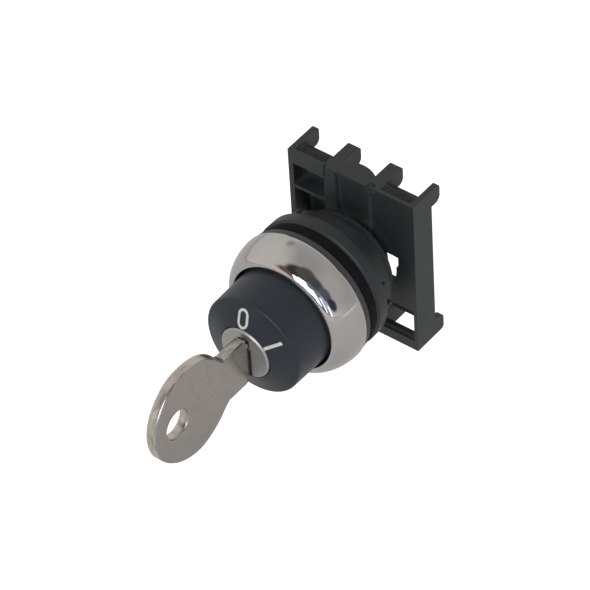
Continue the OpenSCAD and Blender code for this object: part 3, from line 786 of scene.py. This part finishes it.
def build_foot(bm):
    """The step between the shank and the blade."""
    box_solid(bm, (-KEY_HALF, KEY_HALF), (PLUG.front - 1.5, SHANK_END + 0.5), (-4.8, BLADE_TOP))


key = combine(solid("key_plated", build_key_head, SHARP_TURNED), solid("foot", build_foot), "UNION")
key = flat_faces(reshaped(key, build_blade, "UNION"))
place(key, "key", NICKEL_KEY, "key_plating", "key")


# ---------------------------------------------------------------- adapter, guide, plug and carried-over nodes

ADAPTER = Extent("adapter_frame")


def build_serrations(bm):
    """Grip grooves in the two finger ledges."""
    count, first, pitch, width, depth = 14, 6.75, 0.5, 0.42, 0.45
    front = ADAPTER.front - 0.8
    reach, height = (front - 2.6, front), (ADAPTER.top - depth, ADAPTER.top + 1)
    for side in (-1, 1):
        for i in range(count):
            x = side * (first + pitch * i)
            box_solid(bm, (x - width / 2, x + width / 2), reach, height, 0)


def build_hook_corners(bm):
    """What is taken off the hooks' rear corners to round them."""
    r, back, top, beyond, wide, steps = 0.8, ADAPTER.back, ADAPTER.top, 0.6, 20, 10
    for up in (-1, 1):
        loop = [(back - beyond, up * (top + beyond)), (back + r, up * (top + beyond))]
        loop += [(back + r - r * math.sin(a), up * (top - r + r * math.cos(a)))
                 for a in (math.pi / 2 * i / steps for i in range(steps + 1))]
        loop.append((back - beyond, up * (top - r)))
        corners = [[bm.verts.new((x, -f, z)) for f, z in loop] for x in (-wide, wide)]
        skin(bm, corners)
        for ring in corners:
            bm.faces.new(ring)
    bmesh.ops.recalc_face_normals(bm, faces=bm.faces)


adapter = combine(copy_of("adapter_frame"), solid("serrations", build_serrations), "DIFFERENCE")
adapter = combine(adapter, solid("hook_corners", build_hook_corners), "DIFFERENCE")
place(soften(adapter, 0.14), "housing", ADAPTER_PLASTIC, "adapter_plastic", "adapter_frame")
place(soften(copy_of("rear_guide"), 0.12), "housing", GUIDE_PLASTIC, "guide_plastic", "rear_guide")
plug = copy_of("lock_plug", "turned")
for side, low, high in ((1.62, -5.15, 1.7), (1.28, 1.65, 3.75)):
    mouth = solid("keyway_mouth",
                  lambda bm: box_solid(bm, (-1.3, side), (PLUG.front - 0.7, PLUG.front + 1), (low, high), 0))
    plug = combine(plug, mouth, "DIFFERENCE")
place(soften(plug, 0.05), "rotor", NICKEL_FACE, "lock_face", "lock_plug")

PLUNGER_STROKE, SHARP_COIL = 3.5, 60
for side in ("left", "right"):
    name = "plunger_spring_" + side
    coil = smoothed(copy_of(name, "coil"), SHARP_COIL)
    place(coil, "housing", SPRING_STEEL, "spring_steel", name)
    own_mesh(coil)

FINISHES = {
    "lock_shell": ZINC, "plug_clip": STEEL, "plug_seal": RUBBER, "cap_seal": RUBBER,
    "drive_cam": CAM_PLASTIC, "cam_washer": STEEL, "cam_screw": STEEL, "plunger_left": PLUNGER_PLASTIC,
    "plunger_right": PLUNGER_PLASTIC, "detent_ball": STEEL,
}
FINISHES.update(("wafer_%d" % number, BRASS) for number in range(1, 6))
for cad_name, cad_node in NODES.items():
    if not cad_node.hide_render:
        cad_node.data.materials.clear()
        cad_node.data.materials.append(FINISHES.get(cad_name, SPRING_STEEL))


# ---------------------------------------------------------------- studio

WHITE, FLOOR_GLOW = (1.0, 1.0, 1.0, 1.0), 0.7
FLOOR_HALF, FLOOR_HEIGHT = 2600, -52
LENS, SENSOR = 255.1, 36
CAMERA_AZIMUTH, CAMERA_ELEVATION, CAMERA_ROLL = (math.radians(angle) for angle in (40.05, 43.78, -3.75))
CAMERA_DISTANCE, CAMERA_ACROSS, CAMERA_UPWARD = 793.0, -12.38, -9.62
CAMERA_TARGET = Vector((0, 13.585, 0))
DAYLIGHT, SKYLIGHT = (0.92, 0.96, 1.0), (0.45, 0.68, 1.0)
WINDOW_DISTANCE, FILL_DISTANCE, FILL_SIZE = 1.4, 1.6, (0.9, 0.9)
WINDOWS = (  # azimuth, elevation, width and height in metres, power, colour
    (-4, 28, 0.26, 0.70, 1.6, DAYLIGHT), (9, 29, 0.34, 0.88, 3.3, DAYLIGHT),
    (24, 20, 0.30, 0.72, 2.0, DAYLIGHT), (35, 22, 0.10, 0.50, 0.08, SKYLIGHT),
    (41, 14, 0.12, 0.60, 0.5, DAYLIGHT), (49, 20, 0.16, 0.50, 0.16, SKYLIGHT),
    (56, 8, 0.08, 0.40, 0.25, DAYLIGHT),
)
FILLS = (  # name, azimuth, elevation, power, colour
    ("side_fill", 100, 8, 9.0, (0.96, 0.98, 1.0)), ("top_fill", -125, 62, 3.0, (0.97, 0.98, 1.0)),
)
PATCHES = (  # round patches of the room: azimuth, elevation, outer and inner angle, colour
    (-118, 4, 50, 22, (0.635, 0.615, 0.60)), (-75, 38, 42, 14, (0.70, 0.68, 0.66)),
    (-126, 46, 7, 0, (0.33, 0.32, 0.30)), (121, 22, 50, 16, (0.46, 0.45, 0.44)),
    (96, 40, 26, 12, (0.52, 0.505, 0.49)), (18, 16, 38, 24, (0.15, 0.17, 0.24)),
    (-20, 39, 20, 12, (0.19, 0.11, 0.095)), (-6, 60, 21, 14, (0.055, 0.05, 0.045)),
    (30, 66, 20, 14, (0.11, 0.105, 0.095)), (53, 52, 17, 11, (0.085, 0.09, 0.10)),
    (65, 35, 15, 10, (0.12, 0.13, 0.18)), (71, 18, 13, 8, (0.045, 0.052, 0.09)),
)


def seen_white(t, shader):
    """Adds light that only the eye sees, so that the backdrop is white while the room stays soft and dim."""
    sight = t.nodes.new("ShaderNodeLightPath").outputs["Is Camera Ray"]
    strength = math_node(t, "MULTIPLY", sight, FLOOR_GLOW)
    glow = node(t, "ShaderNodeEmission", {"Color": WHITE, "Strength": strength})
    return node(t, "ShaderNodeAddShader", {0: shader, 1: glow.outputs[0]}).outputs[0]


def make_floor():
    bm = bmesh.new()
    bmesh.ops.create_grid(bm, x_segments=8, y_segments=8, size=FLOOR_HALF)
    bmesh.ops.translate(bm, vec=(0, 0, FLOOR_HEIGHT), verts=bm.verts)
    floor = to_object("studio_floor", bm)
    s = Surface("pale_floor")
    t = s.tree
    clouds = mapped(t, noise(t, s.place, 0.01, 2), 0.3, 0.7, 0, 1)
    tone = mix_colour(t, clouds, (0.77, 0.755, 0.74), (0.79, 0.775, 0.76))
    s.finish(Base_Color=tone, Roughness=0.85, Specular_IOR_Level=0.2)
    output = next(n for n in t.nodes if n.type == "OUTPUT_MATERIAL")
    t.links.new(seen_white(t, s.shader.outputs[0]), output.inputs[0])
    floor.data.materials.append(s.material)


def from_angles(azimuth, elevation, distance=1.0):
    """A place given by its direction; azimuth 0 is in front and 90 is to the right."""
    a, e = math.radians(azimuth), math.radians(elevation)
    return distance * math.sin(a) * math.cos(e), -distance * math.cos(a) * math.cos(e), distance * math.sin(e)


def make_world():
    """A warm grey room with a dark band across its front, so that polished metal shows soft bands."""
    world = bpy.data.worlds.new("studio")
    world.use_nodes = True
    t = world.node_tree
    t.nodes.clear()
    towards = t.nodes.new("ShaderNodeTexCoord").outputs["Generated"]
    height = node(t, "ShaderNodeSeparateXYZ", {0: towards}).outputs[2]
    tone = mix_colour(t, mapped(t, height, 0.25, 0.95, 0, 1), (0.74, 0.71, 0.68), (0.42, 0.415, 0.41))
    for azimuth, elevation, outer, inner, colour in PATCHES:
        aim = node(t, "ShaderNodeVectorMath", {0: towards, 1: from_angles(azimuth, elevation)},
                   operation="DOT_PRODUCT").outputs["Value"]
        share = mapped(t, aim, math.cos(math.radians(outer)), math.cos(math.radians(inner)), 0, 1)
        tone = mix_colour(t, share, tone, colour)
    room = node(t, "ShaderNodeBackground", {"Color": tone, "Strength": 1.0})
    backdrop = node(t, "ShaderNodeBackground", {"Color": WHITE, "Strength": 1.0})
    sight = t.nodes.new("ShaderNodeLightPath").outputs["Is Camera Ray"]
    mixed = node(t, "ShaderNodeMixShader", {0: sight, 1: room.outputs[0], 2: backdrop.outputs[0]})
    output = t.nodes.new("ShaderNodeOutputWorld")
    t.links.new(mixed.outputs[0], output.inputs[0])
    bpy.context.scene.world = world


def softbox(name, where, size, power, colour):
    """A large rectangular light aimed at the object; lengths in metres."""
    light = bpy.data.lights.new(name, "AREA")
    light.shape = "RECTANGLE"
    light.size, light.size_y = size
    light.energy = power
    light.color = colour
    obj = bpy.data.objects.new(name, light)
    obj.location = where
    obj.rotation_euler = (-Vector(where)).to_track_quat("-Z", "Y").to_euler()
    bpy.context.scene.collection.objects.link(obj)
    return obj


def make_lights():
    """Windows that the metal reflects, and fills that it doesn't."""
    for number, (azimuth, elevation, wide, tall, power, colour) in enumerate(WINDOWS, 1):
        where = from_angles(azimuth, elevation, WINDOW_DISTANCE)
        softbox("window_%d" % number, where, (wide, tall), power, colour)
    for name, azimuth, elevation, power, colour in FILLS:
        light = softbox(name, from_angles(azimuth, elevation, FILL_DISTANCE), FILL_SIZE, power, colour)
        light.visible_glossy = False


def make_camera():
    """A long lens from the front right and above, turned a little about its own axis."""
    azimuth, elevation, roll = CAMERA_AZIMUTH, CAMERA_ELEVATION, CAMERA_ROLL
    right = Vector((math.cos(azimuth), math.sin(azimuth), 0))
    back = Vector((math.sin(azimuth) * math.cos(elevation), -math.cos(azimuth) * math.cos(elevation),
                   math.sin(elevation)))
    up = back.cross(right)
    x_axis = right * math.cos(roll) + up * math.sin(roll)
    y_axis = up * math.cos(roll) - right * math.sin(roll)
    where = (back * CAMERA_DISTANCE + x_axis * CAMERA_ACROSS + y_axis * CAMERA_UPWARD + CAMERA_TARGET) * MM
    camera = bpy.data.objects.new("camera", bpy.data.cameras.new("camera"))
    camera.data.lens = LENS
    camera.data.sensor_width = SENSOR
    camera.data.clip_start, camera.data.clip_end = 0.01, 20
    camera.matrix_world = Matrix(((x_axis.x, y_axis.x, back.x, where.x),
                                  (x_axis.y, y_axis.y, back.y, where.y),
                                  (x_axis.z, y_axis.z, back.z, where.z), (0, 0, 0, 1)))
    bpy.context.scene.collection.objects.link(camera)
    bpy.context.scene.camera = camera


make_floor()
make_world()
make_lights()
make_camera()
bpy.context.scene.view_settings.view_transform = "Standard"
